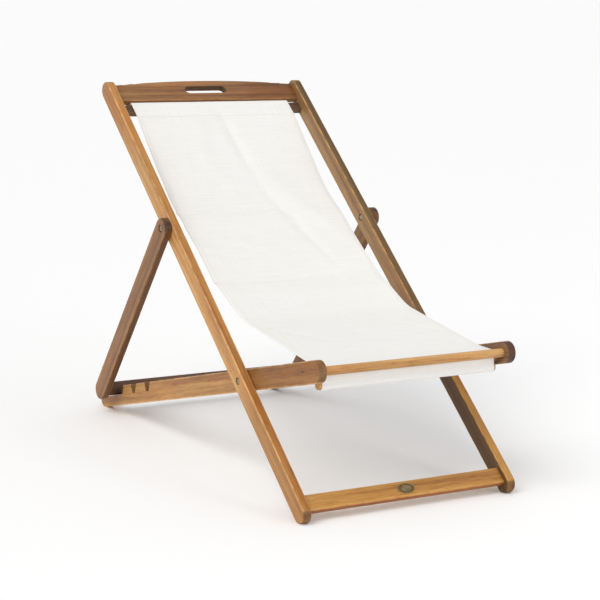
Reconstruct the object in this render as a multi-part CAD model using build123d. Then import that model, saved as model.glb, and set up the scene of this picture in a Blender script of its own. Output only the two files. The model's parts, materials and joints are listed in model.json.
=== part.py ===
"""Folding deck chair: a wooden back frame, seat frame and prop frame with a canvas sling.

Millimetres.  X is the chair's width (+X is the sitter's left), -Y is the front, +Z is up, and the
floor is Z = 0 under the middle of the chair.  The chair stands open with its prop bar on the
rearmost step of the seat rails.

Each frame is drawn flat in its own axes (Y along its rails, Z across them) and then turned into
place.  The back frame's local origin is the centre of its rounded feet, the seat frame's is the main
pivot and the prop frame's is the prop pivot.
"""
import math
import os

from build123d import *

# ---- back frame -------------------------------------------------------------------------------
frame_width = 560.0          # over the outer faces of the back rails
rail_thick = 21.0
rail_depth = 44.0
rail_span = 1285.0           # between the centres of the two rounded ends
rail_angle = 38.5            # above the floor
main_pivot_along = 360.0     # from the foot's centre, along the rail
prop_pivot_along = 822.0
floor_flat = 0.8             # depth of the small flat under each rounded end

# ---- seat frame -------------------------------------------------------------------------------
seat_thick = 21.0
seat_depth = 50.0
seat_side_gap = 2.0          # between a back rail and a seat rail
seat_front_reach = 292.0     # main pivot to the centre of the front end
seat_rear_reach = 777.0      # main pivot to the centre of the rear end
notch_places = (515.5, 595.5)
notch_mouth = 33.0
notch_floor = 14.0
notch_depth = 22.5
step_start = 668.0           # the rearmost step runs from here to the rear end
step_slope = 12.0            # how far the step's front wall leans over its depth

# ---- prop frame -------------------------------------------------------------------------------
prop_thick = 19.0
prop_depth = 48.0
prop_side_gap = 1.5          # between a prop leg and a back rail
prop_bar_along = 709.0       # bar centre, measured along the seat rail from the main pivot
prop_bar_width = 40.0
prop_bar_thick = 16.0
bar_rest_gap = 0.5           # between the bar's lowest edge and the step it stands on

# ---- cross pieces -----------------------------------------------------------------------------
board_edge = 4.0             # radius along the long edges of the boards
rail_edge = 2.5              # radius along the long edges of the rails
foot_rail_height = 42.0
foot_rail_thick = 16.0
foot_rail_along = 18.0       # board centre, from the foot's centre
foot_rail_out = 2.0          # board centre, towards the sitter from the rail's middle
head_rail_thick = 18.0
head_rail_front = 4.0        # front face, from the rail's middle
head_rail_drop = 39.0        # lower edge, below the centres of the rails' rounded tops
head_rail_side_height = 55.5
head_rail_rise = 14.0        # how much higher the arched top is in the middle
handle_length = 117.0
handle_height = 23.0
handle_above_edge = 36.0     # slot centre above the lower edge
batten_height = 28.0
batten_thick = 16.0
batten_front = -4.0          # front face, from the rail's middle
sling_slit = 7.0             # between the head rail's lower edge and the batten
dowel_radius = 10.0
dowel_socket = 14.0
seat_batten_size = 22.0
seat_slit = 10.0             # between the front dowel and the seat batten
seat_batten_drop = 5.0       # batten centre below the dowel's centre
tenon_length = 12.0
tenon_fit = 0.1              # clearance round and behind every tenon
tenon_shoulder = 3.5         # how much smaller a tenon is than its board, on each side

# ---- sling and its hem rods -------------------------------------------------------------------
sling_side_gap = 11.0        # between the sling's edge and a seat rail
sling_thick = 1.6
hem_rod_radius = 9.5
hem_rod_side_gap = 5.0       # between a rod's end and a seat rail
sleeve_play = 0.2            # between a rod and the sleeve sewn round it
head_rod_above = 1.0         # rod centre above the head rail's lower edge
head_rod_gap = 2.2           # between the head rail's rear face and the upper sleeve
seat_rod_gap = 1.2           # between the seat batten and the lower sleeve
sling_back_sag = 26.0        # how far the sling hangs behind the line of the back rails
sling_sag_below = 286.0      # its deepest place, below the head rail
sling_straight = 280.0       # from the main pivot up the rails to where the back leaves their line
sling_turn = (348.0, 40.0)   # where back turns to seat, behind and above the front slit
sling_seat = (198.0, 23.0)   # middle of the seat, behind and above the front slit
sling_lip = (50.0, 22.0)     # seat's front, in the seat rail's axes from the front slit

# ---- fasteners --------------------------------------------------------------------------------
bolt_radius = 4.0
bore_play = 0.05             # radial clearance of a running fit
head_radius = 7.0
head_thick = 3.0
recess_radius = 8.5
recess_depth = 4.0
nut_radius = 6.5
nut_thick = 4.5
nut_recess = 5.5
washer_radius = 11.0
washer_play = 0.1
brad_radius = 1.2
brad_tip = 0.5               # a brad's point, past the middle of its rail
badge_length = 45.0
badge_height = 27.0
badge_thick = 1.2
badge_pin_spread = 34.0
badge_pin_radius = 1.0
badge_pin_length = 6.0

# ---- places worked out from the dimensions ----------------------------------------------------
rail_outer = frame_width / 2
rail_inner = rail_outer - rail_thick
seat_outer = rail_inner - seat_side_gap
seat_inner = seat_outer - seat_thick
prop_inner = rail_outer + prop_side_gap
prop_outer = prop_inner + prop_thick
head_rail_low = rail_span - head_rail_drop
sling_half = seat_inner - sling_side_gap
hem_rod_half = seat_inner - hem_rod_side_gap
sleeve_outer = hem_rod_radius + sleeve_play + sling_thick


def along(angle, distance):
    """Step of the given length in the side view, as (y, z)."""
    return distance * math.cos(math.radians(angle)), distance * math.sin(math.radians(angle))


def add(*points):
    return tuple(sum(values) for values in zip(*points))


foot_z = rail_depth / 2 - floor_flat
pivot_z = foot_z + along(rail_angle, main_pivot_along)[1]
seat_angle = math.degrees(math.asin((pivot_z - seat_depth / 2 + floor_flat) / seat_rear_reach))
front_end = along(rail_angle, main_pivot_along)[0] - along(seat_angle, seat_front_reach)[0] - seat_depth / 2
front_end = min(front_end, -rail_depth / 2)
rear_end = along(rail_angle, main_pivot_along)[0] + along(seat_angle, seat_rear_reach)[0] + seat_depth / 2

foot = (-(front_end + rear_end) / 2, foot_z)
main_pivot = add(foot, along(rail_angle, main_pivot_along))
prop_pivot = add(foot, along(rail_angle, prop_pivot_along))

step_floor = seat_depth / 2 - notch_depth


def prop_bar_centre(lift):
    """Bar centre in the side view, lifted above the seat rail's middle line."""
    return add(main_pivot, along(-seat_angle, prop_bar_along), along(90 - seat_angle, lift))


def prop_bar_tilt(lift):
    centre = prop_bar_centre(lift)
    return math.degrees(math.atan2(prop_pivot[1] - centre[1], centre[0] - prop_pivot[0]))


def bar_half_height(tilt):
    """Half the bar's height across the seat rail when the bar is tilted against that rail."""
    lean = math.radians(tilt - seat_angle)
    flat_width = prop_bar_width / 2 - board_edge
    flat_thick = prop_bar_thick / 2 - board_edge
    return flat_width * math.sin(lean) + flat_thick * math.cos(lean) + board_edge


bar_lift = step_floor
for _ in range(4):
    bar_lift = step_floor + bar_rest_gap + bar_half_height(prop_bar_tilt(bar_lift))
prop_foot = prop_bar_centre(bar_lift)
prop_angle = prop_bar_tilt(bar_lift)
prop_length = math.dist(prop_foot, prop_pivot)

back_place = Pos(0, *foot) * Rot(rail_angle, 0, 0)
seat_place = Pos(0, *main_pivot) * Rot(-seat_angle, 0, 0)
prop_place = Pos(0, *prop_pivot) * Rot(-prop_angle, 0, 0)


# ---- shapes that repeat -----------------------------------------------------------------------
def side_extrude(sketch, x_low, x_high):
    """A side-view outline (its x runs along Y, its y along Z) given its thickness along X."""
    return extrude(Plane.YZ.offset(x_low) * sketch, x_high - x_low)


def soften(solid, radius):
    """Round the outline edges of a rail on both of its flat faces."""
    faces = solid.faces().sort_by(Axis.X)
    return fillet(faces[0].edges() + faces[-1].edges(), radius)


def rail(low, high, depth, x_low, x_high):
    """A rail whose ends are rounded in the side view."""
    outline = Pos((low + high) / 2, 0) * SlotCenterToCenter(high - low, depth)
    return soften(side_extrude(outline, x_low, x_high), rail_edge)


def board(length, height, thick, edge):
    """A cross board along X with rounded long edges."""
    blank = Box(length, height, thick)
    return fillet(blank.edges().filter_by(Axis.X), edge)


def tenon_size(height, thick):
    return height - 2 * tenon_shoulder, thick - 2 * tenon_shoulder


def cross_board(span, height, thick, edge):
    """A board between two rails, with a stub tenon on each end."""
    high, wide = tenon_size(height, thick)
    return board(span, height, thick, edge) + Box(span + 2 * tenon_length, high, wide)


def mortise(face_x, height, thick, inward=1):
    """Blind hole for a cross board's tenon, starting at a rail face and running outwards."""
    high, wide = tenon_size(height, thick)
    deep = tenon_length + tenon_fit
    hole = Box(deep, high + 2 * tenon_fit, wide + 2 * tenon_fit)
    return Pos(face_x + inward * deep / 2, 0, 0) * hole


def x_cylinder(radius, x_low, x_high):
    return Pos((x_low + x_high) / 2, 0, 0) * Rot(0, 90, 0) * Cylinder(radius, x_high - x_low)


def mirrored(solid):
    return mirror(solid, about=Plane.YZ)


def both(solid):
    """The +X piece and its twin as one group of separate solids."""
    return Compound(children=[*solid.solids(), *mirrored(solid).solids()])


# ---- where things sit in each frame's own axes ------------------------------------------------
foot_rail_at = Pos(0, foot_rail_along, foot_rail_out)
head_rail_mid = head_rail_front - head_rail_thick / 2
head_tenon_at = Pos(0, head_rail_low + head_rail_side_height / 2, head_rail_mid)
batten_along = head_rail_low - sling_slit - batten_height / 2
batten_at = Pos(0, batten_along, batten_front - batten_thick / 2)
main_at = Pos(0, main_pivot_along, 0)
prop_at = Pos(0, prop_pivot_along, 0)
dowel_at = Pos(0, -seat_front_reach, 0)
seat_batten_back = dowel_radius + seat_slit + seat_batten_size / 2
seat_batten_at = dowel_at * Pos(0, seat_batten_back, -seat_batten_drop)
head_rod_at = Pos(0, head_rail_low + head_rod_above,
                  head_rail_front - head_rail_thick - head_rod_gap - sleeve_outer)
seat_rod_at = seat_batten_at * Pos(0, 0, -seat_batten_size / 2 - seat_rod_gap - sleeve_outer)
prop_bar_at = Pos(0, prop_length, 0)


def brad(face_x, rail_half_depth, deep=tenon_length):
    """Thin nail driven through a rail's rear edge and the tenon behind it."""
    length = rail_half_depth + brad_tip
    nail = Pos(0, 0, length / 2 - rail_half_depth) * Cylinder(brad_radius, length)
    return Pos(face_x + deep / 2, 0, 0) * nail


head_brad = head_tenon_at * Pos(0, 0, -head_rail_mid) * brad(rail_inner, rail_depth / 2)
foot_brad = foot_rail_at * Pos(0, 0, -foot_rail_out) * brad(rail_inner, rail_depth / 2)
dowel_brad = dowel_at * brad(seat_inner, seat_depth / 2, dowel_socket)
prop_brad = prop_bar_at * brad(prop_inner, prop_depth / 2)


# ---- back frame -------------------------------------------------------------------------------
def back_rail():
    piece = rail(0, rail_span, rail_depth, rail_inner, rail_outer)
    piece -= foot_rail_at * mortise(rail_inner, foot_rail_height, foot_rail_thick)
    piece -= head_tenon_at * mortise(rail_inner, head_rail_side_height, head_rail_thick)
    piece -= batten_at * mortise(rail_inner, batten_height, batten_thick)
    piece -= main_at * x_cylinder(bolt_radius + bore_play, rail_inner, rail_outer)
    piece -= main_at * x_cylinder(recess_radius, rail_outer - recess_depth, rail_outer)
    piece -= prop_at * x_cylinder(bolt_radius + bore_play, rail_inner, rail_outer)
    piece -= prop_at * x_cylinder(recess_radius, rail_inner, rail_inner + nut_recess)
    piece -= head_brad + foot_brad
    placed = back_place * piece
    return placed - Pos(0, foot[0], -rail_depth / 2) * Box(2 * frame_width, rail_depth, rail_depth)


def head_rail():
    half = rail_inner
    side_top = head_rail_low + head_rail_side_height
    outline = Polyline((-half, side_top), (-half, head_rail_low), (half, head_rail_low), (half, side_top))
    arch = ThreePointArc((half, side_top), (0, side_top + head_rail_rise), (-half, side_top))
    slot = Pos(0, head_rail_low + handle_above_edge) * SlotOverall(handle_length, handle_height)
    piece = Pos(0, 0, head_rail_front - head_rail_thick) * extrude(make_face(outline + arch), head_rail_thick)
    piece = fillet(piece.edges().filter_by(Axis.X), board_edge)
    arched = piece.edges().filter_by(GeomType.CIRCLE).filter_by(lambda e: e.radius > half)
    piece = fillet(arched, board_edge)
    piece -= Pos(0, 0, head_rail_front - head_rail_thick) * extrude(slot, head_rail_thick)
    rims = piece.edges().filter_by(lambda e: abs(e.center().X) < handle_length / 2 + 1
                                   and abs(e.center().Y - head_rail_low - handle_above_edge)
                                   < handle_height / 2 + 1 and abs(e.tangent_at(0.5).Z) < 0.5)
    piece = fillet(rims, rail_edge)
    high, wide = tenon_size(head_rail_side_height, head_rail_thick)
    stub = head_tenon_at * Pos(half, 0, 0) * Box(2 * tenon_length, high, wide)
    piece += stub + mirrored(stub)
    return back_place * (piece - both(head_brad))


def foot_rail():
    piece = foot_rail_at * cross_board(2 * rail_inner, foot_rail_height, foot_rail_thick, board_edge)
    pins = Pos(0, 0, -badge_thick) * badge_pins_flat()
    return back_place * (piece - both(foot_brad) - pins.solids())


def head_batten():
    return back_place * batten_at * cross_board(2 * rail_inner, batten_height, batten_thick, board_edge)


def head_hem_rod():
    return back_place * head_rod_at * x_cylinder(hem_rod_radius, -hem_rod_half, hem_rod_half)


def badge_face():
    return foot_rail_at * Pos(0, 0, foot_rail_thick / 2)


def badge_plate():
    plate = badge_face() * extrude(Ellipse(badge_length / 2, badge_height / 2), badge_thick)
    plate = fillet(plate.edges().sort_by(Axis.Z)[-1:], badge_thick / 3)
    return back_place * (plate - badge_pins_flat().solids())


def badge_pins_flat():
    """Two pins that hold the badge, ending flush with its face."""
    pin = Pos(badge_pin_spread / 2, 0, badge_thick - badge_pin_length / 2) * Cylinder(
        badge_pin_radius, badge_pin_length)
    return both(badge_face() * pin)


def badge_pins():
    return back_place * badge_pins_flat()


# ---- seat frame -------------------------------------------------------------------------------
def seat_rail():
    piece = side_extrude(Pos((seat_rear_reach - seat_front_reach) / 2, 0) * SlotCenterToCenter(
        seat_rear_reach + seat_front_reach, seat_depth), seat_inner, seat_outer)
    top = seat_depth / 2
    beyond = seat_rear_reach + seat_depth
    step = Polyline((step_start - step_slope, top + 1), (step_start, step_floor),
                    (beyond, step_floor), (beyond, top + 1), close=True)
    cutters = [make_face(step)]
    for place in notch_places:
        wide, narrow = notch_mouth / 2, notch_floor / 2
        shift = (notch_mouth - notch_floor) / 4
        notch = Polyline((place - wide, top), (place - narrow + shift, step_floor),
                         (place + narrow + shift, step_floor), (place + wide, top),
                         (place + wide, top + 1), (place - wide, top + 1), close=True)
        cutters.append(make_face(notch))
    for cutter in cutters:
        piece -= side_extrude(cutter, seat_inner, seat_outer)
    piece = soften(piece, rail_edge * 0.8)
    piece -= dowel_at * x_cylinder(dowel_radius, seat_inner, seat_inner + dowel_socket)
    piece -= seat_batten_at * mortise(seat_inner, seat_batten_size, seat_batten_size)
    piece -= x_cylinder(bolt_radius + bore_play, seat_inner, seat_outer)
    piece -= x_cylinder(recess_radius, seat_inner, seat_inner + nut_recess)
    piece -= dowel_brad
    placed = seat_place * piece
    rear_y = add(main_pivot, along(-seat_angle, seat_rear_reach))[0]
    return placed - Pos(0, rear_y, -seat_depth / 2) * Box(2 * frame_width, seat_depth, seat_depth)


def front_dowel():
    reach = seat_inner + dowel_socket - tenon_fit
    return seat_place * (dowel_at * x_cylinder(dowel_radius, -reach, reach) - both(dowel_brad))


def seat_batten():
    return seat_place * seat_batten_at * cross_board(2 * seat_inner, seat_batten_size, seat_batten_size,
                                                     board_edge)


def seat_hem_rod():
    return seat_place * seat_rod_at * x_cylinder(hem_rod_radius, -hem_rod_half, hem_rod_half)


# ---- prop frame -------------------------------------------------------------------------------
def prop_leg():
    piece = rail(0, prop_length, prop_depth, prop_inner, prop_outer)
    piece -= prop_bar_at * mortise(prop_inner, prop_bar_width, prop_bar_thick)
    piece -= x_cylinder(bolt_radius + bore_play, prop_inner, prop_outer)
    piece -= x_cylinder(recess_radius, prop_outer - recess_depth, prop_outer)
    return prop_place * (piece - prop_brad)


def prop_bar():
    piece = prop_bar_at * cross_board(2 * prop_inner, prop_bar_width, prop_bar_thick, board_edge)
    return prop_place * (piece - both(prop_brad))


# ---- fasteners --------------------------------------------------------------------------------
def pivot_bolt(head_seat, nut_seat):
    """Bolt along X: a low domed head outside, its shank ending level with the nut."""
    head = x_cylinder(head_radius, head_seat, head_seat + head_thick)
    head = fillet(head.edges().sort_by(Axis.X)[-1:], head_thick * 0.6)
    return head + x_cylinder(bolt_radius, nut_seat - nut_thick, head_seat)


def ring(radius, x_low, x_high):
    return x_cylinder(radius, x_low, x_high) - x_cylinder(bolt_radius + bore_play, x_low, x_high)


main_head_seat = rail_outer - recess_depth
main_nut_seat = seat_inner + nut_recess
prop_head_seat = prop_outer - recess_depth
prop_nut_seat = rail_inner + nut_recess


def washer(gap_low, gap_high):
    return ring(washer_radius, gap_low + washer_play, gap_high - washer_play)


def nut(seat):
    body = ring(nut_radius, seat - nut_thick, seat)
    return chamfer(body.edges().sort_by(Axis.X)[:1], nut_thick / 8)


# ---- sling ------------------------------------------------------------------------------------
def side_point(place, y, z):
    """A point given in a frame's own axes, as the side view's (y, z)."""
    spot = (place * Pos(0, y, z)).position
    return spot.Y, spot.Z


def sling():
    """Canvas as a thin sheet: through both slits, sagging between them, a sleeve round each rod."""
    sleeve = sleeve_outer - sling_thick / 2
    head_rod = (head_rod_at.position.Y, head_rod_at.position.Z)
    seat_rod = (seat_rod_at.position.Y, seat_rod_at.position.Z)
    slit = head_rail_low - sling_slit / 2
    front_slit = dowel_radius + seat_slit / 2 - seat_front_reach
    front = side_point(seat_place, front_slit, 0)
    points = [
        side_point(back_place, head_rod[0] - sleeve, head_rod[1]),
        side_point(back_place, slit, batten_front - batten_thick),
        side_point(back_place, slit, batten_front / 2 + 1),
        side_point(back_place, head_rail_low - head_rail_side_height, 0),
        side_point(back_place, head_rail_low - sling_sag_below, -sling_back_sag),
        side_point(back_place, main_pivot_along + sling_straight, 2),
        add(front, sling_turn),
        add(front, sling_seat),
        side_point(seat_place, front_slit + sling_lip[0], sling_lip[1]),
        side_point(seat_place, front_slit, seat_batten_size / 2 - seat_batten_drop + 2.2),
        side_point(seat_place, seat_rod[0] - sleeve, seat_rod[1]),
    ]
    path = FilletPolyline(*points[1:-1], radius=[3, 60, 300, 180, 180, 300, 80])
    body = trace(path, sling_thick)
    for start, end in ((points[0], points[1]), (points[-2], points[-1])):
        body += trace(Line(start, end), sling_thick)
    for place, rod in ((back_place, head_rod), (seat_place, seat_rod)):
        centre = side_point(place, *rod)
        body += Pos(*centre) * Circle(sleeve_outer)
        body -= Pos(*centre) * Circle(hem_rod_radius + sleeve_play)
    return side_extrude(body, -sling_half, sling_half)


# ---- write every node -------------------------------------------------------------------------
def nodes():
    back, seat, leg = back_rail(), seat_rail(), prop_leg()
    return {
        "left_back_rail": back,
        "right_back_rail": mirrored(back),
        "head_rail": head_rail(),
        "head_batten": head_batten(),
        "head_hem_rod": head_hem_rod(),
        "foot_rail": foot_rail(),
        "badge_plate": badge_plate(),
        "badge_pins": badge_pins(),
        "left_seat_rail": seat,
        "right_seat_rail": mirrored(seat),
        "front_dowel": front_dowel(),
        "seat_batten": seat_batten(),
        "seat_hem_rod": seat_hem_rod(),
        "left_prop_leg": leg,
        "right_prop_leg": mirrored(leg),
        "prop_bar": prop_bar(),
        "sling": sling(),
        "main_pivot_bolts": back_place * main_at * both(pivot_bolt(main_head_seat, main_nut_seat)),
        "main_pivot_washers": back_place * main_at * both(washer(seat_outer, rail_inner)),
        "main_pivot_nuts": back_place * main_at * both(nut(main_nut_seat)),
        "prop_pivot_bolts": back_place * prop_at * both(pivot_bolt(prop_head_seat, prop_nut_seat)),
        "prop_pivot_washers": back_place * prop_at * both(washer(rail_outer, prop_inner)),
        "prop_pivot_nuts": back_place * prop_at * both(nut(prop_nut_seat)),
        "head_rail_brads": back_place * both(head_brad),
        "foot_rail_brads": back_place * both(foot_brad),
        "dowel_brads": seat_place * both(dowel_brad),
        "prop_bar_brads": prop_place * both(prop_brad),
    }


os.makedirs("parts", exist_ok=True)
for name, shape in nodes().items():
    export_step(shape, os.path.join("parts", name + ".step"))
print("main pivot y, z", [round(v, 3) for v in main_pivot], "seat angle", round(seat_angle, 3))
print("prop pivot y, z", [round(v, 3) for v in prop_pivot], "prop angle", round(prop_angle, 3),
      "prop length", round(prop_length, 3))
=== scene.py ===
"""Folding deck chair with oiled acacia frames and a canvas sling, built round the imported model."""
import json
import math

import bpy
from mathutils import Matrix, Vector


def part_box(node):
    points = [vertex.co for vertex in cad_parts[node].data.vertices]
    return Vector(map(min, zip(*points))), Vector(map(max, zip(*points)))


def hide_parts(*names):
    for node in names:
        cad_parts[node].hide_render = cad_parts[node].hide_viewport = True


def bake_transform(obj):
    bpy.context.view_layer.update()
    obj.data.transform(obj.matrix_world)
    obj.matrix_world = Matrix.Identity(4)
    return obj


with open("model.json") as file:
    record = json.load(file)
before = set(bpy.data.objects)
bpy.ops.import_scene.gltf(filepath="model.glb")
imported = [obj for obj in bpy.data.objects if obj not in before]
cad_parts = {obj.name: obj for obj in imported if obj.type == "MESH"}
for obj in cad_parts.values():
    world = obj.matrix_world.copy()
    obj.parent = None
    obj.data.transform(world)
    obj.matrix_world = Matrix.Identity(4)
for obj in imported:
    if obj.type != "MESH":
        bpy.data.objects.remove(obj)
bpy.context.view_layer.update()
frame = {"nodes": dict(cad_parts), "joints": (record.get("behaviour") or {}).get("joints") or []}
bpy.ops.object.select_all(action="DESELECT")

parts = frame["nodes"]
joints = {joint["name"]: joint for joint in frame["joints"]}
main_pivot = Vector(joints["seat_fold"]["pos_m"])
prop_pivot = Vector(joints["prop_swing"]["pos_m"])


def middle(name):
    low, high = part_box(name)
    return (low + high) / 2


def size(name):
    low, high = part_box(name)
    return high - low


def side_angle(start, end):
    """Slope of a line in the side view, in radians."""
    return math.atan2(end.z - start.z, end.y - start.y)


rail_turn = side_angle(main_pivot, prop_pivot)
seat_turn = side_angle(middle("front_dowel"), main_pivot)
prop_turn = side_angle(prop_pivot, middle("prop_bar"))


# ---- node helpers ------------------------------------------------------------------------------
def tone(red, green, blue):
    """A colour given from 0 to 255, as the linear colour that a shader takes."""
    channels = [v / 255 for v in (red, green, blue)]
    return (*[v / 12.92 if v <= 0.04045 else ((v + 0.055) / 1.055) ** 2.4 for v in channels], 1.0)


def add_node(tree, kind, feeds=None, **settings):
    """A node with its settings, and its inputs set to a value or joined to another node's output."""
    made = tree.nodes.new(kind)
    for key, value in settings.items():
        setattr(made, key, value)
    for place, source in (feeds or {}).items():
        if isinstance(source, bpy.types.NodeSocket):
            tree.links.new(source, made.inputs[place])
        else:
            made.inputs[place].default_value = source
    return made


def calc(tree, operation, *values):
    return add_node(tree, "ShaderNodeMath", dict(enumerate(values)), operation=operation).outputs[0]


def ease(tree, value, low, high, bottom=0.0, top=1.0):
    """Smooth step of a value from low to high, as bottom to top."""
    feeds = {"Value": value, "From Min": low, "From Max": high, "To Min": bottom, "To Max": top}
    return add_node(tree, "ShaderNodeMapRange", feeds, interpolation_type="SMOOTHSTEP").outputs[0]


def mix(tree, share, first, second, how="MIX"):
    feeds = {0: share, 6: first, 7: second}
    made = add_node(tree, "ShaderNodeMix", feeds, data_type="RGBA", blend_type=how)
    return made.outputs[2]


def noise(tree, place, scale, detail, rough=0.55):
    feeds = {"Vector": place, "Scale": scale, "Detail": detail, "Roughness": rough}
    return add_node(tree, "ShaderNodeTexNoise", feeds).outputs["Fac"]


def vector(tree, x, y, z):
    return add_node(tree, "ShaderNodeCombineXYZ", {0: x, 1: y, 2: z}).outputs[0]


def vector_calc(tree, operation, *values, gives="Vector"):
    feeds = dict(enumerate(values))
    return add_node(tree, "ShaderNodeVectorMath", feeds, operation=operation).outputs[gives]


def split(tree, source):
    return add_node(tree, "ShaderNodeSeparateXYZ", {0: source}).outputs


def new_group(name, takes, gives):
    """An empty node group: takes are (label, kind, value), gives are (label, kind)."""
    tree = bpy.data.node_groups.new(name, "ShaderNodeTree")
    for label, kind, value in takes:
        socket = tree.interface.new_socket(name=label, in_out="INPUT", socket_type="NodeSocket" + kind)
        if value is not None:
            socket.default_value = value
    for label, kind in gives:
        tree.interface.new_socket(name=label, in_out="OUTPUT", socket_type="NodeSocket" + kind)
    taken = add_node(tree, "NodeGroupInput").outputs
    given = add_node(tree, "NodeGroupOutput").inputs
    return tree, taken, given


def effect(tree, group, feeds):
    """The outputs of a shared effect, with its inputs set or joined."""
    return add_node(tree, "ShaderNodeGroup", feeds, node_tree=group).outputs


def add_bump(tree, shader, strength, distance, height):
    feeds = {"Strength": strength, "Distance": distance, "Height": height}
    bump = add_node(tree, "ShaderNodeBump", feeds)
    tree.links.new(bump.outputs[0], shader.inputs["Normal"])


# ---- camera, floor and light -------------------------------------------------------------------
def make_camera():
    """A long lens turned by yaw, tipped down by pitch and leaning by roll."""
    camera = bpy.data.cameras.new("studio_camera")
    camera.lens = 110.47
    camera.sensor_width = 36.0
    camera.clip_end = 200.0
    stand = bpy.data.objects.new("studio_camera", camera)
    bpy.context.scene.collection.objects.link(stand)
    spot = (-2.2245, -3.7095, 1.250)
    yaw, pitch, roll = (math.radians(v) for v in (31.11, 11.56, 2.277))
    ahead = Vector((math.sin(yaw) * math.cos(pitch), math.cos(yaw) * math.cos(pitch), -math.sin(pitch)))
    right = Vector((math.cos(yaw), -math.sin(yaw), 0))
    up = right.cross(ahead)
    across = right * math.cos(roll) + up * math.sin(roll)
    upright = up * math.cos(roll) - right * math.sin(roll)
    turn = Matrix((across, upright, -ahead)).transposed().to_4x4()
    stand.matrix_world = Matrix.Translation(spot) @ turn
    bpy.context.scene.camera = stand


def area_light(name, spot, aim, width, power, warmth):
    """A round lamp that faces the place it is aimed at."""
    lamp = bpy.data.lights.new(name, "AREA")
    lamp.shape = "DISK"
    lamp.size = width
    lamp.energy = power
    lamp.color = warmth
    stand = bpy.data.objects.new(name, lamp)
    bpy.context.scene.collection.objects.link(stand)
    stand.location = spot
    stand.rotation_mode = "QUATERNION"
    stand.rotation_quaternion = (Vector(aim) - Vector(spot)).to_track_quat("-Z", "Y")


def sun_light(name, towards, strength, spread, warmth):
    """A broad even light that shines from one direction, given as the way towards it."""
    lamp = bpy.data.lights.new(name, "SUN")
    lamp.energy = strength
    lamp.angle = math.radians(spread)
    lamp.color = warmth
    stand = bpy.data.objects.new(name, lamp)
    bpy.context.scene.collection.objects.link(stand)
    stand.rotation_mode = "QUATERNION"
    stand.rotation_quaternion = (-Vector(towards)).to_track_quat("-Z", "Y")


def make_studio():
    """White paper floor under a sky that is brightest near the horizon, a broad sun and one lamp."""
    bpy.ops.mesh.primitive_plane_add(size=160, location=(0, 0, 0))
    floor = bpy.context.object
    floor.name = "studio_floor"
    paper = bpy.data.materials.new("studio_paper")
    paper.use_nodes = True
    shader = paper.node_tree.nodes["Principled BSDF"]
    shader.inputs["Base Color"].default_value = (0.96, 0.96, 0.96, 1)
    shader.inputs["Roughness"].default_value = 0.95
    shader.inputs["Specular IOR Level"].default_value = 0.1
    floor.data.materials.append(paper)
    sky = bpy.data.worlds.new("studio_sky")
    sky.use_nodes = True
    backdrop = sky.node_tree.nodes["Background"]
    backdrop.inputs["Color"].default_value = (0.985, 0.99, 1.0, 1)
    height = split(sky.node_tree, add_node(sky.node_tree, "ShaderNodeTexCoord").outputs["Generated"])[2]
    glow = ease(sky.node_tree, height, 0.10, 0.45, 0.95, 0.70)
    sky.node_tree.links.new(glow, backdrop.inputs["Strength"])
    bpy.context.scene.world = sky
    bpy.context.scene.view_settings.view_transform = "Standard"
    sun_light("key_light", (-0.77, -0.22, 0.85), 1.30, 38, (1.0, 0.99, 0.965))
    area_light("front_light", (1.6, -4.2, 1.9), (0, 0, 0.35), 1.6, 26, (1.0, 1.0, 1.0))


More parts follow.
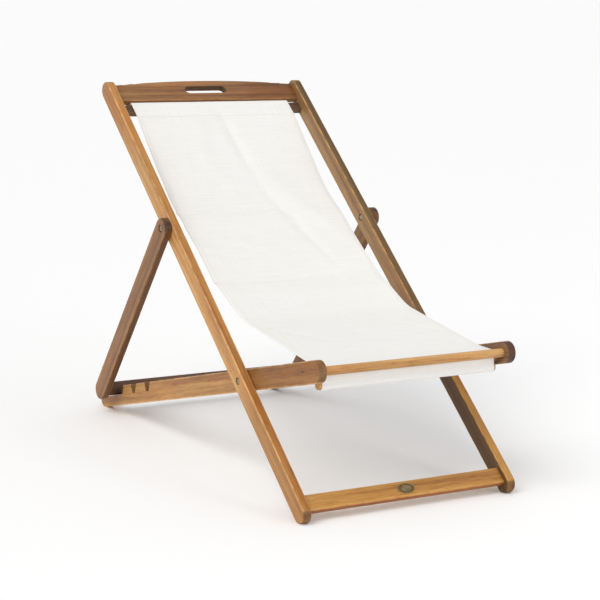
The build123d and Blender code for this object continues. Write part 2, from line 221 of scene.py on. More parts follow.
# ---- shared effects ----------------------------------------------------------------------------
def make_acacia_grain():
    """Streaked acacia.  The grain runs along the vector's X, and Depth moves it to the dark tone."""
    tree, taken, given = new_group(
        "acacia_grain",
        [("Vector", "Vector", None), ("Seed", "Float", 0.0), ("Light", "Color", None),
         ("Middle", "Color", None), ("Dark", "Color", None), ("Depth", "Float", 0.0)],
        [("Color", "Color"), ("Roughness", "Float"), ("Height", "Float")])
    along, across, through = split(tree, taken["Vector"])
    seed = vector(tree, calc(tree, "MULTIPLY", taken["Seed"], 7.31),
                  calc(tree, "MULTIPLY", taken["Seed"], 3.17),
                  calc(tree, "MULTIPLY", taken["Seed"], 5.73))

    def stretched(length, width):
        scaled = vector(tree, calc(tree, "MULTIPLY", along, length),
                        calc(tree, "MULTIPLY", across, width), calc(tree, "MULTIPLY", through, width))
        return vector_calc(tree, "ADD", scaled, seed)

    drift = noise(tree, stretched(2.2, 10.0), 1.0, 3.0)
    sway = calc(tree, "MULTIPLY", calc(tree, "SUBTRACT", drift, 0.5), 0.020)
    bent = vector(tree, calc(tree, "MULTIPLY", along, 1.3),
                  calc(tree, "MULTIPLY", calc(tree, "ADD", across, sway), 62.0),
                  calc(tree, "MULTIPLY", calc(tree, "ADD", through, sway), 62.0))
    figure = noise(tree, vector_calc(tree, "ADD", bent, seed), 1.0, 5.0, 0.6)
    patch = noise(tree, stretched(3.5, 14.0), 1.0, 2.0)
    fibre = noise(tree, stretched(14.0, 520.0), 1.0, 3.0)
    pore = ease(tree, noise(tree, stretched(70.0, 1500.0), 1.0, 1.0), 0.62, 0.72)
    ring_place = calc(tree, "ADD", calc(tree, "MULTIPLY", across, 0.55), through)
    ring_place = calc(tree, "ADD", ring_place, calc(tree, "MULTIPLY", sway, 1.4))
    ring = calc(tree, "SINE", calc(tree, "MULTIPLY", ring_place, 1150.0))
    ring = ease(tree, ring, 0.35, 1.0)
    level = calc(tree, "SUBTRACT", figure, taken["Depth"])
    base = mix(tree, ease(tree, level, 0.30, 0.50), taken["Dark"], taken["Middle"])
    base = mix(tree, ease(tree, level, 0.46, 0.70), base, taken["Light"])
    base = mix(tree, ease(tree, patch, 0.42, 0.66, 0.0, 0.5), base, (1.08, 0.90, 0.76, 1), "MULTIPLY")
    base = mix(tree, calc(tree, "MULTIPLY", ring, 0.20), base, (0.72, 0.60, 0.50, 1), "MULTIPLY")
    base = mix(tree, ease(tree, fibre, 0.3, 0.7, 0.55, 0.0), base, (0.70, 0.62, 0.56, 1), "MULTIPLY")
    fleck = ease(tree, noise(tree, stretched(26.0, 280.0), 1.0, 2.0), 0.52, 0.68, 0.0, 0.55)
    base = mix(tree, fleck, base, (0.68, 0.56, 0.46, 1), "MULTIPLY")
    base = mix(tree, calc(tree, "MULTIPLY", pore, 0.6), base, (0.42, 0.33, 0.27, 1), "MULTIPLY")
    tree.links.new(base, given["Color"])
    tree.links.new(ease(tree, figure, 0.2, 0.8, 0.40, 0.56), given["Roughness"])
    tree.links.new(calc(tree, "SUBTRACT", calc(tree, "MULTIPLY", fibre, 0.6), pore), given["Height"])
    return tree


def make_painted_edge_highlight():
    """Mask of a board's four long edges, in the board's own centred axes, for a painted highlight along
    them.
    """
    tree, taken, given = new_group(
        "painted_edge_highlight",
        [("Vector", "Vector", None), ("Half Width", "Float", 0.02), ("Half Thickness", "Float", 0.01),
         ("Rim", "Float", 0.004)],
        [("Mask", "Float")])
    _, across, through = split(tree, taken["Vector"])
    sides = []
    for place, half in ((across, taken["Half Width"]), (through, taken["Half Thickness"])):
        start = calc(tree, "SUBTRACT", half, taken["Rim"])
        sides.append(ease(tree, calc(tree, "ABSOLUTE", place), start, half))
    patchy = ease(tree, noise(tree, taken["Vector"], 45.0, 3.0), 0.35, 0.65, 0.35, 1.0)
    edge = calc(tree, "MULTIPLY", sides[0], sides[1])
    tree.links.new(calc(tree, "MULTIPLY", edge, patchy), given["Mask"])
    return tree


def make_end_grain_and_recess_shade():
    """Mask of sawn ends, notches and bored holes, which lie inside a board's four long faces: darker
    end grain, and painted shade in the notches and holes.
    """
    tree, taken, given = new_group(
        "end_grain_and_recess_shade",
        [("Vector", "Vector", None), ("Half Width", "Float", 0.02), ("Half Thickness", "Float", 0.01)],
        [("Mask", "Float")])
    _, across, through = split(tree, taken["Vector"])
    inside = []
    for place, half in ((across, taken["Half Width"]), (through, taken["Half Thickness"])):
        share = calc(tree, "DIVIDE", calc(tree, "ABSOLUTE", place), half)
        inside.append(ease(tree, share, 0.975, 0.86))
    tree.links.new(calc(tree, "MULTIPLY", inside[0], inside[1]), given["Mask"])
    return tree


def make_face_tone_and_shade():
    """Mask of one face of a board, over part of its length with a ragged end, for another wood tone or
    for painted shade.
    """
    tree, taken, given = new_group(
        "face_tone_and_shade",
        [("Vector", "Vector", None), ("Face", "Vector", None),
         ("From", "Float", -9.0), ("To", "Float", -8.0)],
        [("Mask", "Float")])
    ragged_reach = 0.10
    reach = vector_calc(tree, "DOT_PRODUCT", taken["Vector"], taken["Face"], gives="Value")
    along = split(tree, taken["Vector"])[0]
    ragged = calc(tree, "MULTIPLY_ADD", noise(tree, taken["Vector"], 22.0, 3.0), ragged_reach, along)
    stretch = ease(tree, calc(tree, "SUBTRACT", ragged, ragged_reach / 2), taken["From"], taken["To"])
    tree.links.new(calc(tree, "MULTIPLY", ease(tree, reach, 0.88, 0.985), stretch), given["Mask"])
    return tree


def make_knot():
    """Masks of one small knot and of the stained wood round it, both drawn out along the board."""
    tree, taken, given = new_group(
        "wood_knot",
        [("Vector", "Vector", None), ("Centre", "Vector", None), ("Radius", "Float", 0.004)],
        [("Core", "Float"), ("Halo", "Float")])
    away = vector_calc(tree, "SUBTRACT", taken["Vector"], taken["Centre"])
    squeezed = vector_calc(tree, "MULTIPLY", away, (0.24, 1.0, 1.0))
    distance = vector_calc(tree, "LENGTH", squeezed, gives="Value")
    wobble = calc(tree, "MULTIPLY", noise(tree, taken["Vector"], 260.0, 2.0), 0.003)
    reach = calc(tree, "DIVIDE", calc(tree, "ADD", distance, wobble), taken["Radius"])
    tree.links.new(ease(tree, reach, 1.0, 0.55), given["Core"])
    tree.links.new(ease(tree, reach, 3.6, 0.8), given["Halo"])
    return tree


def make_plain_weave():
    """Plain weave on a vector in metres, as a height and an uneven thread tone."""
    tree, taken, given = new_group(
        "plain_weave", [("Vector", "Vector", None), ("Pitch", "Float", 0.0008)],
        [("Height", "Float"), ("Slub", "Float")])
    u, v, _ = split(tree, taken["Vector"])
    u = calc(tree, "DIVIDE", u, taken["Pitch"])
    v = calc(tree, "DIVIDE", v, taken["Pitch"])
    cells = calc(tree, "ADD", calc(tree, "FLOOR", u), calc(tree, "FLOOR", v))
    over = calc(tree, "MODULO", calc(tree, "ABSOLUTE", cells), 2.0)
    turns = [calc(tree, "MULTIPLY", calc(tree, "FRACT", thread), math.pi) for thread in (u, v)]
    crests = [calc(tree, "SINE", turn) for turn in turns]
    warp = calc(tree, "MULTIPLY", crests[0], calc(tree, "MULTIPLY_ADD", crests[1], 0.4, 0.6))
    weft = calc(tree, "MULTIPLY", crests[1], calc(tree, "MULTIPLY_ADD", crests[0], 0.4, 0.6))
    difference = calc(tree, "MULTIPLY", over, calc(tree, "SUBTRACT", weft, warp))
    tree.links.new(calc(tree, "ADD", warp, difference), given["Height"])
    long_warp = noise(tree, vector(tree, u, calc(tree, "MULTIPLY", v, 0.02), 0.0), 0.55, 2.0)
    long_weft = noise(tree, vector(tree, calc(tree, "MULTIPLY", u, 0.02), v, 3.0), 0.55, 2.0)
    tree.links.new(calc(tree, "MULTIPLY", calc(tree, "ADD", long_warp, long_weft), 0.5), given["Slub"])
    return tree


def make_metal_scuff():
    """Fine random scratches and dull patches on small hardware."""
    tree, taken, given = new_group(
        "metal_scuff", [("Vector", "Vector", None), ("Scale", "Float", 400.0)],
        [("Mask", "Float"), ("Height", "Float")])
    coarse = noise(tree, taken["Vector"], taken["Scale"], 3.0)
    fine = noise(tree, taken["Vector"], calc(tree, "MULTIPLY", taken["Scale"], 7.0), 2.0)
    tree.links.new(ease(tree, coarse, 0.42, 0.64), given["Mask"])
    tree.links.new(fine, given["Height"])
    return tree


grain_group = make_acacia_grain()
edge_highlight_group = make_painted_edge_highlight()
face_group = make_face_tone_and_shade()
end_and_recess_shade_group = make_end_grain_and_recess_shade()
knot_group = make_knot()
weave_group = make_plain_weave()
scuff_group = make_metal_scuff()


# ---- finishes ----------------------------------------------------------------------------------
def start_material(name):
    finish = bpy.data.materials.new(name)
    finish.use_nodes = True
    return finish, finish.node_tree, finish.node_tree.nodes["Principled BSDF"]


def board_axes(tree, name, turn, lengthwise):
    """Object coordinates turned so that X runs along a board and zero is its middle."""
    rotation = (-turn, 0.0, -math.pi / 2) if lengthwise else (-turn, 0.0, 0.0)
    spin = Matrix.Rotation(rotation[2], 3, "Z") @ Matrix.Rotation(-turn, 3, "X")
    place = add_node(tree, "ShaderNodeTexCoord").outputs["Object"]
    feeds = {"Vector": place, "Location": -(spin @ middle(name)), "Rotation": rotation}
    return add_node(tree, "ShaderNodeMapping", feeds).outputs[0]


def oiled_wood(name, turn, lengthwise, half, tones, seed, depth=0.0, knots=(), faces=(), cut=0.95):
    """Oiled acacia for one piece.

    half is half its size, as (across, through).  tones are its light, middle and dark wood.
    knots are (centre, radius) in the board's axes.
    faces are parts of another tone, some of them painted shade: the way the face looks as (across,
    through), the stretch of length over which the tint comes in, and the tint that it is multiplied by.
    cut is how much its sawn ends and notches are darkened, from 0 to 1: darker end grain, and painted
    shade in the notches and bored holes.
    """
    finish, tree, shader = start_material(name + "_acacia")
    axes = board_axes(tree, name, turn, lengthwise)
    light, mid, dark = tones
    grain = effect(tree, grain_group, {"Vector": axes, "Seed": seed, "Light": light, "Middle": mid,
                                       "Dark": dark, "Depth": depth})
    colour = grain["Color"]
    for (wide, thick), start, end, tint in faces:
        looks = (0.0, wide / half[0], thick / half[1])
        face = effect(tree, face_group, {"Vector": axes, "Face": looks, "From": start, "To": end})
        tinted = mix(tree, 1.0, colour, (*tint, 1.0), "MULTIPLY")
        colour = mix(tree, face["Mask"], colour, tinted)
    for centre, radius in knots:
        knot = effect(tree, knot_group, {"Vector": axes, "Centre": centre, "Radius": radius})
        colour = mix(tree, calc(tree, "MULTIPLY", knot["Halo"], 0.45), colour, knot_stain)
        colour = mix(tree, calc(tree, "MULTIPLY", knot["Core"], 0.85), colour, knot_core)
    section = {"Vector": axes, "Half Width": half[0], "Half Thickness": half[1]}
    edge = effect(tree, edge_highlight_group, section)["Mask"]
    # Darker end grain on sawn ends, and painted shade in notches and bored holes.
    if cut:
        sawn = effect(tree, end_and_recess_shade_group, section)["Mask"]
        darker = mix(tree, 1.0, colour, (0.38, 0.36, 0.35, 1), "MULTIPLY")
        colour = mix(tree, calc(tree, "MULTIPLY", sawn, cut), colour, darker)
    # Painted highlight along the long edges: mixed towards the light tone and brightened.
    painted_highlight_colour = mix(tree, 1.0, mix(tree, 0.70, colour, light), (1.25, 1.25, 1.25, 1), "MULTIPLY")
    tree.links.new(mix(tree, edge, colour, painted_highlight_colour), shader.inputs["Base Color"])
    rough = calc(tree, "MULTIPLY_ADD", edge, -0.10, grain["Roughness"])
    tree.links.new(rough, shader.inputs["Roughness"])
    add_bump(tree, shader, 0.30, 0.0004, grain["Height"])
    shader.inputs["Specular IOR Level"].default_value = 0.32
    shader.inputs["Coat Weight"].default_value = 0.06
    shader.inputs["Coat Roughness"].default_value = 0.35
    return finish


def hardware(name, bright, dull, polish, scale):
    """Scuffed metal, from a bright clean tone to a dull and rougher one."""
    finish, tree, shader = start_material(name)
    place = add_node(tree, "ShaderNodeTexCoord").outputs["Object"]
    scuff = effect(tree, scuff_group, {"Vector": place, "Scale": scale})
    tree.links.new(mix(tree, scuff["Mask"], bright, dull), shader.inputs["Base Color"])
    rough = ease(tree, scuff["Mask"], 0.0, 1.0, polish, polish + 0.22)
    tree.links.new(rough, shader.inputs["Roughness"])
    add_bump(tree, shader, 0.12, 0.0002, scuff["Height"])
    shader.inputs["Metallic"].default_value = 1.0
    return finish


def badge_metal():
    """Aged brass for an oval plate, with a darker sunk ring inside its rim."""
    finish, tree, shader = start_material("aged_brass")
    axes = board_axes(tree, "badge_plate", rail_turn, False)
    across, up, _ = split(tree, axes)
    half_length = size("badge_plate").x / 2
    half_height = 0.6 * half_length
    round_x = calc(tree, "POWER", calc(tree, "DIVIDE", across, half_length), 2.0)
    round_y = calc(tree, "POWER", calc(tree, "DIVIDE", up, half_height), 2.0)
    reach = calc(tree, "SQRT", calc(tree, "ADD", round_x, round_y))
    ring = calc(tree, "MULTIPLY", ease(tree, reach, 0.60, 0.68), ease(tree, reach, 0.86, 0.78))
    scuff = effect(tree, scuff_group, {"Vector": axes, "Scale": 90.0})
    colour = mix(tree, scuff["Mask"], tone(156, 136, 92), tone(132, 116, 78))
    colour = mix(tree, calc(tree, "MULTIPLY", ring, 0.7), colour, tone(78, 64, 42))
    tree.links.new(colour, shader.inputs["Base Color"])
    tree.links.new(ease(tree, scuff["Mask"], 0.0, 1.0, 0.42, 0.62), shader.inputs["Roughness"])
    height = calc(tree, "MULTIPLY_ADD", ring, -1.0, calc(tree, "MULTIPLY", scuff["Height"], 0.2))
    add_bump(tree, shader, 0.6, 0.0004, height)
    shader.inputs["Metallic"].default_value = 0.8
    return finish


def canvas_cloth():
    """Undyed canvas: woven threads of uneven tone, painted shade between them, and faint clouding."""
    finish, tree, shader = start_material("natural_canvas")
    place = add_node(tree, "ShaderNodeUVMap", uv_map="cloth").outputs[0]
    weave = effect(tree, weave_group, {"Vector": place, "Pitch": 0.0009})
    slub = ease(tree, weave["Slub"], 0.38, 0.62)
    colour = mix(tree, slub, tone(240, 239, 236), tone(234, 232, 228))
    # Painted shade between the threads: the low parts of the weave are darkened.
    thread_gap_shade = ease(tree, weave["Height"], 0.55, 0.05, 0.0, 0.30)
    colour = mix(tree, thread_gap_shade, colour, tone(214, 210, 202))
    cloud = ease(tree, noise(tree, place, 5.0, 3.0), 0.35, 0.75, 0.0, 0.30)
    colour = mix(tree, cloud, colour, tone(232, 230, 225))
    tree.links.new(colour, shader.inputs["Base Color"])
    tree.links.new(ease(tree, slub, 0.0, 1.0, 0.82, 0.92), shader.inputs["Roughness"])
    add_bump(tree, shader, 0.35, 0.0003, weave["Height"])
    shader.inputs["Sheen Weight"].default_value = 0.15
    shader.inputs["Sheen Roughness"].default_value = 0.6
    shader.inputs["Specular IOR Level"].default_value = 0.2
    return finish


def seam_thread():
    finish, tree, shader = start_material("seam_thread")
    place = add_node(tree, "ShaderNodeTexCoord").outputs["Object"]
    twist = noise(tree, place, 1800.0, 2.0)
    colour = mix(tree, twist, tone(226, 221, 210), tone(206, 200, 186))
    tree.links.new(colour, shader.inputs["Base Color"])
    shader.inputs["Roughness"].default_value = 0.8
    add_bump(tree, shader, 0.3, 0.0002, twist)
    return finish


# Woods, each as its light, middle and dark tone.
golden = (tone(216, 172, 112), tone(193, 145, 86), tone(156, 106, 60))
amber = (tone(210, 160, 88), tone(190, 140, 72), tone(152, 100, 52))
brown = (tone(170, 127, 80), tone(146, 105, 66), tone(110, 76, 48))
umber = (tone(146, 110, 78), tone(122, 90, 63), tone(86, 61, 43))
dusky = (tone(120, 90, 68), tone(100, 74, 55), tone(72, 52, 40))
blond = (tone(226, 184, 124), tone(208, 164, 102), tone(172, 126, 76))
knot_stain = tone(126, 78, 44)
knot_core = tone(46, 28, 18)

# Half the size of the paired boards, as (across, through).
rail_half = (0.0105, 0.022)
seat_half = (0.0105, 0.025)
leg_half = (0.0095, 0.024)

# Wider than any rod, so that round pieces get no painted edge highlight.
round_half = (0.02, 0.02)

# Which way a face looks, as (across, through).  Right and left are the sitter's and fit lengthwise
# boards only, and the lower edge is a crosswise board's.
right_side = (1, 0)
left_side = (-1, 0)
lower_edge = (-1, 0)
top_face = (0, 1)
under_face = (0, -1)

# A stretch that ends before any board starts, so that the tint covers its whole length.
whole = (-9.0, -8.0)

# Piece, slope, whether it runs lengthwise, half section, tones, seed, depth, knots, faces, cut.
wood_finishes = [
    ("left_back_rail", rail_turn, True, rail_half, amber, 1.3, 0.0, (),
     [(top_face, -0.26, -0.14, (0.30, 0.34, 0.48)),
      # Painted shade: the right face turns dark towards the lower end, below the seat.
      (right_side, -0.16, -0.28, (0.24, 0.23, 0.26)),
      (right_side, -0.28, -0.14, (0.62, 0.70, 1.15))]),
    ("right_back_rail", rail_turn, True, rail_half, golden, 4.1, -0.02,
     [((-0.548, -0.006, 0.022), 0.0030)],
     [(top_face, *whole, (0.86, 0.74, 0.56)),
      (left_side, *whole, (0.80, 0.72, 0.62)),
      (right_side, 0.30, 0.62, (0.66, 0.54, 0.46)),
      # Partly painted shade: the right and top faces turn darker and browner low down, by the seat rail
      # joint.
      (right_side, -0.26, -0.42, (0.74, 0.66, 0.60)),
      (top_face, -0.24, -0.40, (0.82, 0.74, 0.66))]),
    ("head_rail", rail_turn, False, (0.035, 0.009), brown, 2.2, -0.01, (),
     [(top_face, 0.02, 0.22, (0.72, 0.60, 0.46))]),
    ("head_batten", rail_turn, False, (0.014, 0.008), dusky, 6.4, 0.0, (), ()),
    ("foot_rail", rail_turn, False, (0.021, 0.008), amber, 3.7, -0.02, (),
     [(lower_edge, *whole, (0.62, 0.42, 0.34))]),
    ("left_seat_rail", seat_turn, True, seat_half, umber, 5.9, 0.01, (), ()),
    ("right_seat_rail", seat_turn, True, seat_half, golden, 8.2, 0.0,
     [((-0.4915, 0.0105, 0.003), 0.0040), ((0.12, 0.0105, 0.010), 0.0025)],
     [(right_side, -0.10, -0.34, (0.62, 0.52, 0.44)),
      (top_face, *whole, (0.42, 0.34, 0.30)),
      (right_side, *whole, (0.84, 0.80, 0.74)),
      (right_side, 0.40, 0.50, (0.80, 0.72, 0.62))]),
    ("front_dowel", seat_turn, False, round_half, golden, 7.5, -0.06, (), (), 0.0),
    ("seat_batten", seat_turn, False, (0.011, 0.011), brown, 9.6, 0.0, (), ()),
    # Painted shade: each prop leg's under face is darker all along, as on the side away from the light.
    ("left_prop_leg", prop_turn, True, leg_half, brown, 2.9, 0.02, (),
     [(under_face, *whole, (0.55, 0.50, 0.46))]),
    ("right_prop_leg", prop_turn, True, leg_half, brown, 6.8, 0.01, (),
     [(under_face, *whole, (0.52, 0.47, 0.43))]),
    ("prop_bar", prop_turn, False, (0.02, 0.008), dusky, 1.9, 0.0, (), ()),
    ("head_hem_rod", rail_turn, False, round_half, blond, 3.1, 0.0, (), (), 0.0),
    ("seat_hem_rod", seat_turn, False, round_half, blond, 5.2, 0.0, (), (), 0.0),
]


def put_on(piece, finish):
    piece.data.materials.clear()
    piece.data.materials.append(finish)


def finish_parts():
    """Gives every wooden and metal piece its own material."""
    for name, *rest in wood_finishes:
        put_on(parts[name], oiled_wood(name, *rest))
    zinc = hardware("zinc_plate", tone(176, 160, 136), tone(104, 90, 72), 0.32, 420.0)
    nail = hardware("dull_nail", tone(168, 166, 160), tone(120, 112, 100), 0.42, 900.0)
    brass = badge_metal()
    for name, part in parts.items():
        if name.startswith("badge"):
            put_on(part, brass)
        elif name.endswith("brads"):
            put_on(part, nail)
        elif "_pivot_" in name:
            put_on(part, zinc)


# ---- sling -------------------------------------------------------------------------------------
sling_half = 0.225      # half the finished width
cloth_thick = 0.0012
hem_width = 0.013
fold = 0.00062          # half a step from one layer of a folded hem to the next
rod_gap = 0.0003        # left between a rod and the cloth rolled round it
sleeve_reach = 0.085    # length at either end that lies in a sleeve and its slit
sleeve_tail = 0.05      # length at the upper end that is rolled inside the sleeve
stitch_pitch = 0.0034
stitch_half = 0.00042   # half the thickness of a stitch
rod_radius = size("head_hem_rod").z / 2
roll_radius = rod_radius + cloth_thick / 2 + rod_gap


def clamp(value):
    return max(0.0, min(1.0, value))


def in_frame(origin, turn, along, out):
    """A point of the side view as (y, z), from its place along and out from a frame's rails."""
    y = origin.y + along * math.cos(turn) - out * math.sin(turn)
    z = origin.z + along * math.sin(turn) + out * math.cos(turn)
    return Vector((y, z))


def in_axes(origin, turn, point):
    """A point as its place along and out from a frame's rails."""
    y, z = point.y - origin.y, point.z - origin.z
    return (y * math.cos(turn) + z * math.sin(turn), z * math.cos(turn) - y * math.sin(turn))


def rounded(points, radii):
    """A polyline in the side view with its corners rounded, in steps of about 4 mm."""
    line = [points[0]]
    for before, corner, after, radius in zip(points, points[1:-1], points[2:], radii):
        inward, outward = (before - corner).normalized(), (after - corner).normalized()
        half = math.acos(max(-1.0, min(1.0, inward.dot(outward)))) / 2
        reach = radius / math.tan(half)
        centre = corner + (inward + outward).normalized() * radius / math.sin(half)
        start, end = corner + inward * reach - centre, corner + outward * reach - centre
        sweep = start.angle_signed(end)
        steps = max(3, int(abs(sweep) * radius / 0.004))
        for step in range(steps + 1):
            line.append(centre + Matrix.Rotation(-sweep * step / steps, 2) @ start)
    return line + [points[-1]]


def wrapped(centre, radius, start, end):
    """Points round a rod in the side view, from one angle to another in steps of 7 degrees."""
    steps = int(abs(end - start) / 7)
    turns = [math.radians(start + (end - start) * i / steps) for i in range(steps + 1)]
    return [centre + radius * Vector((math.cos(a), math.sin(a))) for a in turns]


def spaced(line, gap, fine_gap, fine_reach):
    """The same line at even steps, closer together near both ends, and each step's distance."""
    lengths = [0.0]
    for first, second in zip(line, line[1:]):
        lengths.append(lengths[-1] + (second - first).length)
    total = lengths[-1]
    stops, place = [], 0.0
    while place < total - fine_gap / 2:
        stops.append(place)
        near_end = min(place, total - place) < fine_reach
        place += fine_gap if near_end else gap
    stops.append(total)
    found, i = [], 0
    for stop in stops:
        while i < len(lengths) - 2 and lengths[i + 1] < stop:
            i += 1
        share = (stop - lengths[i]) / max(lengths[i + 1] - lengths[i], 1e-9)
        found.append(line[i].lerp(line[i + 1], share))
    return found, stops


def sling_line():
    """The cloth's side view, from the tail of its upper sleeve to the tail of its lower one.

    It comes through the slit between the head batten and the head rail, hangs to the front dowel,
    and goes down between the dowel and the seat batten to the lower rod.
    """
    head_rod = Vector(middle("head_hem_rod").yz)
    seat_rod = Vector(middle("seat_hem_rod").yz)
    batten_along, batten_out = in_axes(main_pivot, rail_turn, middle("head_batten"))
    batten_half = 0.014
    slit = batten_along + batten_half + 0.0035
    dowel_along, _ = in_axes(main_pivot, seat_turn, middle("front_dowel"))
    front_slit = dowel_along + 0.015
    front = in_frame(main_pivot, seat_turn, front_slit, 0.0)
    rail_degrees, seat_degrees = math.degrees(rail_turn), math.degrees(seat_turn)
    upper_roll = wrapped(head_rod, roll_radius, rail_degrees + 482, rail_degrees + 150)
    lower_roll = wrapped(seat_rod, roll_radius, seat_degrees + 176, seat_degrees + 498)
    corners = [
        upper_roll[-1],
        in_frame(main_pivot, rail_turn, slit, batten_out - 0.007),
        in_frame(main_pivot, rail_turn, slit, -0.001),
        in_frame(main_pivot, rail_turn, slit - 0.0520, 0.0),
        in_frame(main_pivot, rail_turn, slit - 0.2825, -0.026),
        in_frame(main_pivot, rail_turn, 0.280, 0.002),
        front + Vector((0.348, 0.040)),
        front + Vector((0.198, 0.023)),
        in_frame(main_pivot, seat_turn, front_slit + 0.050, 0.022),
        in_frame(main_pivot, seat_turn, front_slit, 0.0082),
        lower_roll[0],
    ]
    radii = [0.004, 0.003, 0.060, 0.300, 0.180, 0.180, 0.300, 0.080, 0.008]
    return upper_roll[:-1] + rounded(corners, radii) + lower_roll[1:]


def ridge(x, v, ends, height, width):
    """Height of one soft crease that runs between two places of the cloth, each (x, v)."""
    (ax, av), (bx, bv) = ends
    dx, dv = bx - ax, bv - av
    share = ((x - ax) * dx + (v - av) * dv) / (dx * dx + dv * dv)
    inside = clamp(share)
    away = math.hypot(x - ax - inside * dx, v - av - inside * dv)
    taper = math.sin(math.pi * (0.08 + 0.84 * inside))
    return height * taper * math.exp(-(away / width) ** 2)


# Soft creases: two ends, each (x, distance along the cloth), then height and width in metres.
creases = [
    (((-0.300, 0.444), (0.160, 0.432)), -0.0050, 0.0080),
    (((-0.300, 0.470), (0.300, 0.480)), 0.0042, 0.034),
    (((-0.300, 0.680), (0.120, 0.670)), -0.0050, 0.0085),
    (((-0.300, 0.716), (0.300, 0.736)), 0.0040, 0.036),
    (((-0.340, 0.360), (0.060, 0.330)), 0.0052, 0.042),
    (((-0.340, 0.580), (0.100, 0.560)), 0.0050, 0.046),
    (((0.010, 0.100), (0.040, 0.330)), -0.0046, 0.013),
    (((0.040, 0.330), (0.130, 0.640)), -0.0040, 0.014),
    (((0.060, 0.300), (0.200, 0.560)), 0.0036, 0.028),
    (((-0.060, 0.110), (-0.075, 0.300)), 0.0022, 0.022),
    (((-0.200, 0.500), (0.020, 0.610)), 0.0013, 0.012),
    (((0.120, 0.900), (0.215, 1.030)), -0.0016, 0.009),
    (((0.060, 0.960), (0.190, 1.060)), 0.0015, 0.010),
    (((-0.215, 0.860), (-0.080, 1.020)), -0.0016, 0.012),
    (((-0.110, 0.180), (-0.020, 0.420)), 0.0012, 0.016),
    (((-0.180, 1.000), (0.160, 1.080)), 0.0010, 0.014),
]


def sag(x, v, length):
    """How far the cloth hangs below its edges' line."""
    slit_place = 0.075
    slit_to_slit = clamp((v - slit_place) / (length - 2 * slit_place))
    hang = math.sin(math.pi * slit_to_slit) ** 1.3
    return -0.010 * hang * (1.0 - (x / sling_half) ** 2)


def calmness(v, length):
    """0 where the cloth is held round a rod or in a slit, rising to 1 where it hangs free."""
    return clamp((min(v, length - v) - sleeve_reach) / 0.05)


def billow(x, v, length):
    """Height of the free cloth over its even line: its sag and its creases."""
    return sag(x, v, length) + sum(ridge(x, v, *crease) for crease in creases)


def normal_at(line, i):
    ahead = (line[min(i + 1, len(line) - 1)] - line[max(i - 1, 0)]).normalized()
    return Vector((ahead.y, -ahead.x))


def head_seam(line, stops):
    """Distance along the cloth of the seam that closes its upper sleeve, below the head rail."""
    for place, stop in zip(line, stops):
        _, out = in_axes(main_pivot, rail_turn, Vector((0, *place)))
        if stop > 0.06 and out > -0.002:
            return stop + 0.054


def sling_columns():
    """Across the cloth, as (x, layer): a folded hem under each side edge, and the panel between."""
    inner = sling_half - hem_width
    hem = [(inner, -2 * fold), (inner + hem_width / 2, -2 * fold), (sling_half - fold, -2 * fold),
           (sling_half - 0.25 * fold, -1.5 * fold), (sling_half, -fold),
           (sling_half - 0.25 * fold, -0.4 * fold)]
    steps = 56
    panel = [(-sling_half + fold + (2 * sling_half - 2 * fold) * i / steps, 0.0)
             for i in range(steps + 1)]
    return [(-x, layer) for x, layer in hem] + panel + [(x, layer) for x, layer in reversed(hem)]


def use(piece):
    """Selects one piece alone, for the operators that follow."""
    bpy.ops.object.select_all(action="DESELECT")
    piece.select_set(True)
    bpy.context.view_layer.objects.active = piece


def make_sling():
    """The cloth as one sheet with folded side hems, its side view line and the line's distances."""
    line, stops = spaced(sling_line(), 0.0032, 0.0016, 0.080)
    length = stops[-1]
    seam = head_seam(line, stops)
    columns = sling_columns()
    widths = [0.0]
    for (x0, n0), (x1, n1) in zip(columns, columns[1:]):
        widths.append(widths[-1] + math.hypot(x1 - x0, n1 - n0))
    points, spots = [], []
    for i, (place, v) in enumerate(zip(line, stops)):
        normal = normal_at(line, i)
        calm = calmness(v, length)
        # The hems are lifted by a layer towards the lower rod, to roll round it clear of the wood.
        tuck = 2 * fold * clamp((0.100 - (length - v)) / 0.030)
        # The sleeve above the seam is doubled, so its face stands a little prouder.
        doubled = 0.0006 * clamp((seam - v) / 0.0016) if v > sleeve_tail else 0.0
        for (x, layer), u in zip(columns, widths):
            out = layer + tuck * clamp((abs(x) - sling_half + hem_width + 0.006) / 0.006)
            out += doubled
            if calm:
                out += calm * billow(x, v, length)
            points.append((x, place.x + normal.x * out, place.y + normal.y * out))
            spots.append((u, v))
    wide = len(columns)
    faces = []
    for row in range(len(line) - 1):
        for column in range(wide - 1):
            first = row * wide + column
            faces.append((first, first + 1, first + wide + 1, first + wide))
    mesh = bpy.data.meshes.new("canvas_sling")
    mesh.from_pydata(points, [], faces)
    flat_map = mesh.uv_layers.new(name="cloth")
    for loop in mesh.loops:
        flat_map.data[loop.index].uv = spots[loop.vertex_index]
    sling = bpy.data.objects.new("canvas_sling", mesh)
    bpy.context.scene.collection.objects.link(sling)
    use(sling)
    bpy.ops.object.modifier_add(type="SOLIDIFY")
    solid = sling.modifiers[-1]
    solid.thickness = cloth_thick
    solid.offset = 0.0
    bpy.ops.object.modifier_apply(modifier=solid.name)
    bpy.ops.object.shade_smooth_by_angle(angle=math.radians(50))
    return sling, line, stops


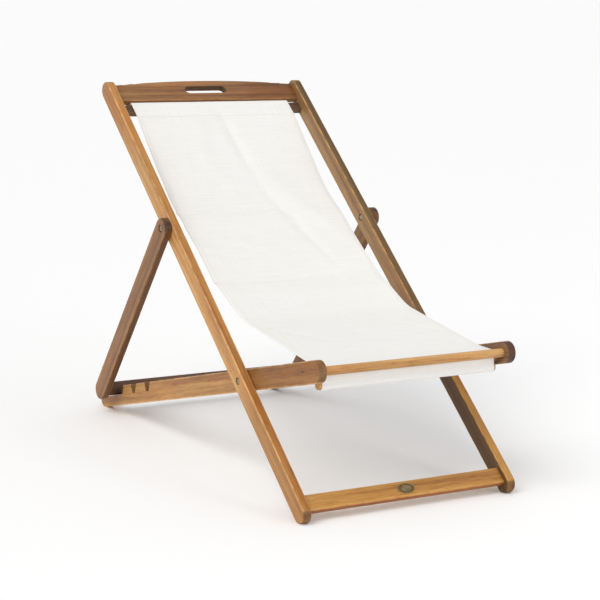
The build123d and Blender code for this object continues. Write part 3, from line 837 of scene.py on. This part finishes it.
def stitch_row(name, route, pitch):
    """Thread stitches at even steps along a route of points."""
    curve = bpy.data.curves.new(name + "_route", "CURVE")
    curve.dimensions = "3D"
    spline = curve.splines.new("POLY")
    spline.points.add(len(route) - 1)
    for point, place in zip(spline.points, route):
        point.co = (*place, 1.0)
    guide = bpy.data.objects.new(name + "_route", curve)
    bpy.context.scene.collection.objects.link(guide)
    bpy.ops.mesh.primitive_uv_sphere_add(segments=6, ring_count=4, radius=1.0, location=(0, 0, 0))
    row = bpy.context.object
    row.name = name
    use(row)
    bpy.ops.object.mode_set(mode="EDIT")
    bpy.ops.mesh.select_all(action="SELECT")
    bpy.ops.transform.rotate(value=math.pi / 2, orient_axis="Y", center_override=(0, 0, 0))
    bpy.ops.transform.resize(value=(pitch * 0.36, stitch_half, stitch_half), center_override=(0, 0, 0))
    bpy.ops.transform.translate(value=(pitch * 0.5, 0, 0))
    bpy.ops.object.mode_set(mode="OBJECT")
    repeat = row.modifiers.new("repeat", "ARRAY")
    repeat.fit_type = "FIT_CURVE"
    repeat.curve = guide
    repeat.use_relative_offset = False
    repeat.use_constant_offset = True
    repeat.constant_offset_displace = (pitch, 0, 0)
    follow = row.modifiers.new("follow", "CURVE")
    follow.object = guide
    bpy.ops.object.modifier_apply(modifier="repeat")
    bpy.ops.object.modifier_apply(modifier="follow")
    bpy.ops.object.shade_smooth()
    bpy.data.objects.remove(guide)
    return row


def seam_route(line, stops, x, first, last, out):
    """Points on the cloth at one x, between two distances along it, lifted off the panel."""
    length = stops[-1]
    route = []
    for i, (place, v) in enumerate(zip(line, stops)):
        if first <= v <= last:
            normal = normal_at(line, i)
            lift = out + calmness(v, length) * billow(x, v, length)
            route.append((x, place.x + normal.x * lift, place.y + normal.y * lift))
    return route


def make_stitching(line, stops):
    """One row of stitches down each side hem, and one along each half of the head seam."""
    hem_row = sling_half - hem_width + 0.003
    hem_start = 0.084
    hem_end = stops[-1] - 0.090
    hem_lift = cloth_thick / 2 + 0.0001
    rows = []
    for side, sign in (("left", 1), ("right", -1)):
        route = seam_route(line, stops, sign * hem_row, hem_start, hem_end, hem_lift)
        rows.append(stitch_row(side + "_hem_stitches", route, stitch_pitch))
    seam = head_seam(line, stops)
    seam_start = seam - 0.0058
    seam_end = seam - 0.0022
    seam_lift = cloth_thick / 2 + 0.0007
    steps = 60
    for side, sign in (("left", 1), ("right", -1)):
        across = []
        for i in range(steps + 1):
            x = sign * 0.002 + (sling_half - 0.004) * i / steps * sign
            across.append(seam_route(line, stops, x, seam_start, seam_end, seam_lift)[0])
        rows.append(stitch_row(side + "_head_stitches", across, stitch_pitch))
    use(rows[0])
    for row in rows[1:]:
        row.select_set(True)
    bpy.ops.object.join()
    rows[0].name = "sling_stitches"
    put_on(rows[0], seam_thread())
    return rows[0]


def make_cloth():
    """Canvas and stitches from the back frame to the seat frame, baked in place, with the imported
    sling hidden.
    """
    sling, line, stops = make_sling()
    put_on(sling, canvas_cloth())
    stitches = make_stitching(line, stops)
    for piece in (sling, stitches):
        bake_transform(piece)
    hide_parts("sling")


make_camera()
make_studio()
finish_parts()
make_cloth()
